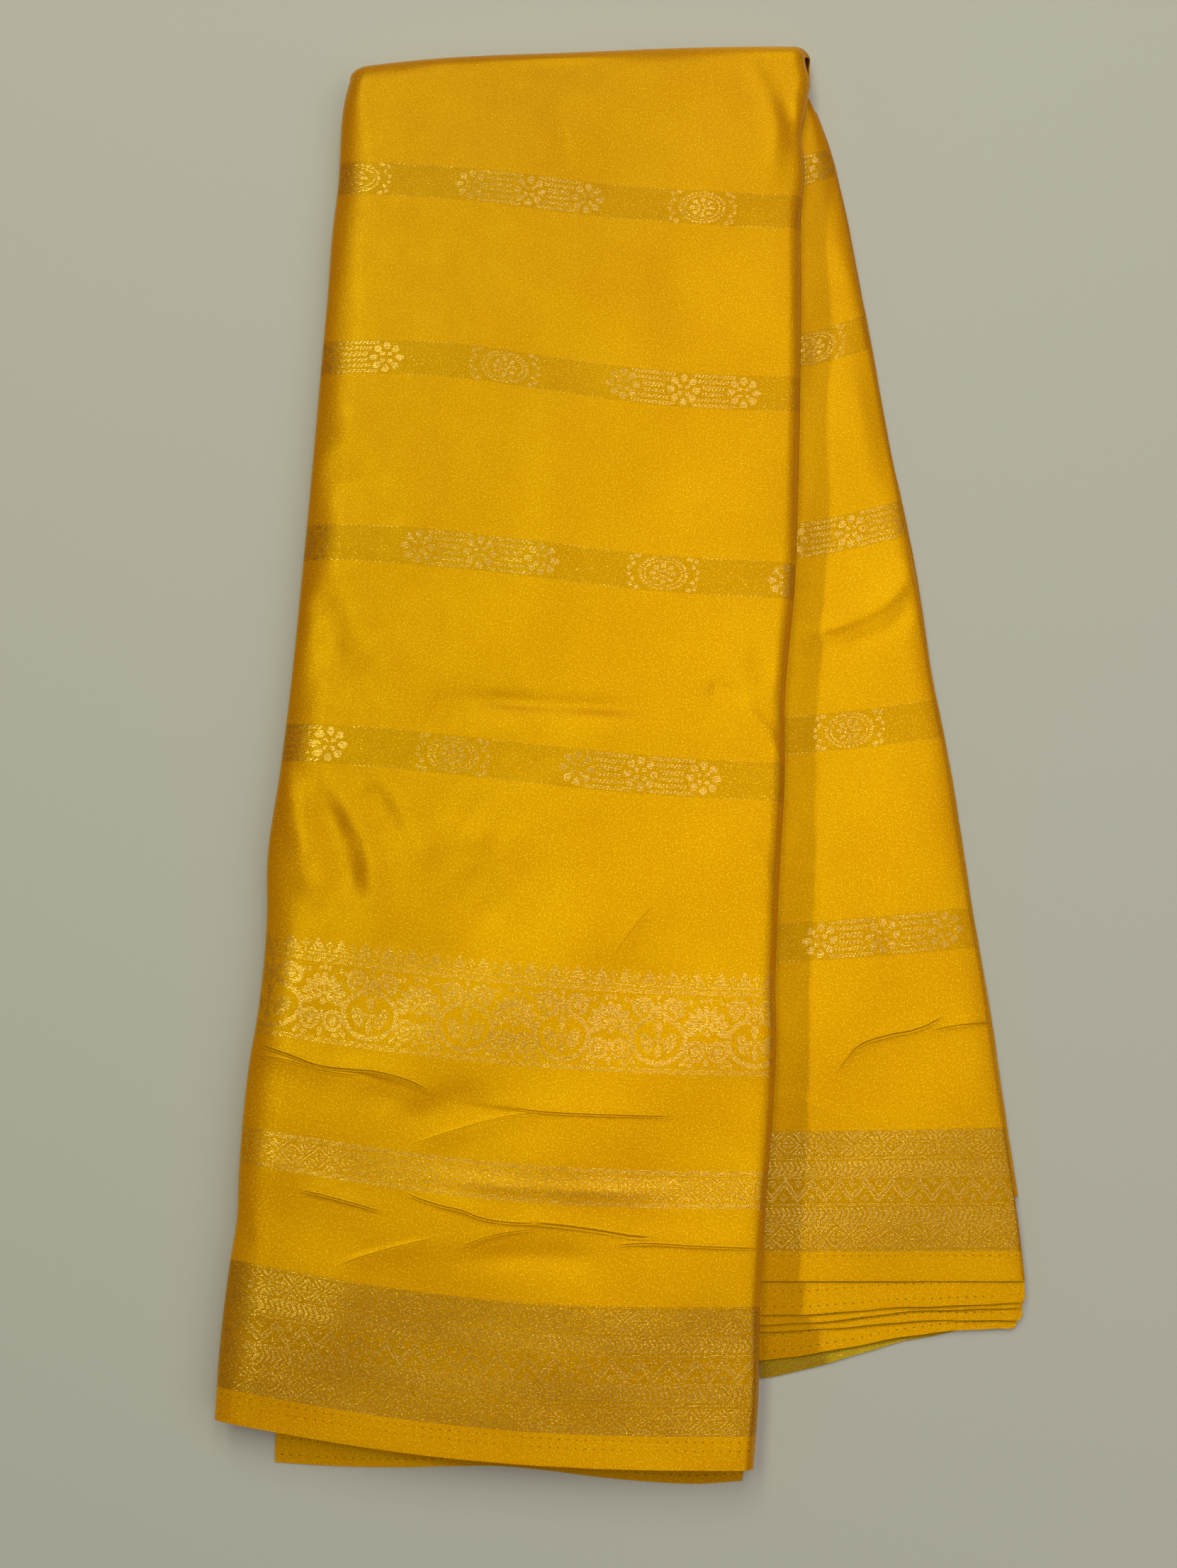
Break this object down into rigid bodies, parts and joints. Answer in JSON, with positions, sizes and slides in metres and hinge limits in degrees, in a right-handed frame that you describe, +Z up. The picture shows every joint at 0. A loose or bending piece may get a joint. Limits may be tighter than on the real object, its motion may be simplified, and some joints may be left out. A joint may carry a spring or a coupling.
{
  "type": "saree",
  "caption": "Folded saree of golden-yellow satin with woven zari borders and motif bands, lying flat as a long pack with its lower half fanned out to one side",
  "frame": {"origin": "on the surface that the pack lies on, under the middle of the pack, on the underside of its bottom leaf", "axes": "+Y runs along the pack from the selvedge end to the top fold, +X points to the side where the lower half is fanned out, +Z up out of the pack"},
  "size_m": [0.3127, 0.6166, 0.0183],
  "materials": {
    "satin": "golden-yellow satin face with a soft broad sheen",
    "satin_reverse": "duller olive-gold reverse of the satin",
    "zari": "pale gold metallic thread, woven in short twill floats"
  },
  "bodies": {
    "root": {"front_leaf": "satin", "side_leaf": "satin", "side_leaf_2": "satin", "side_leaf_3": "satin", "side_leaf_4": "satin", "side_leaf_5": "satin", "side_leaf_6": "satin_reverse", "under_leaf": "satin", "hidden_layers": "satin"}
  },
  "joints": []
}
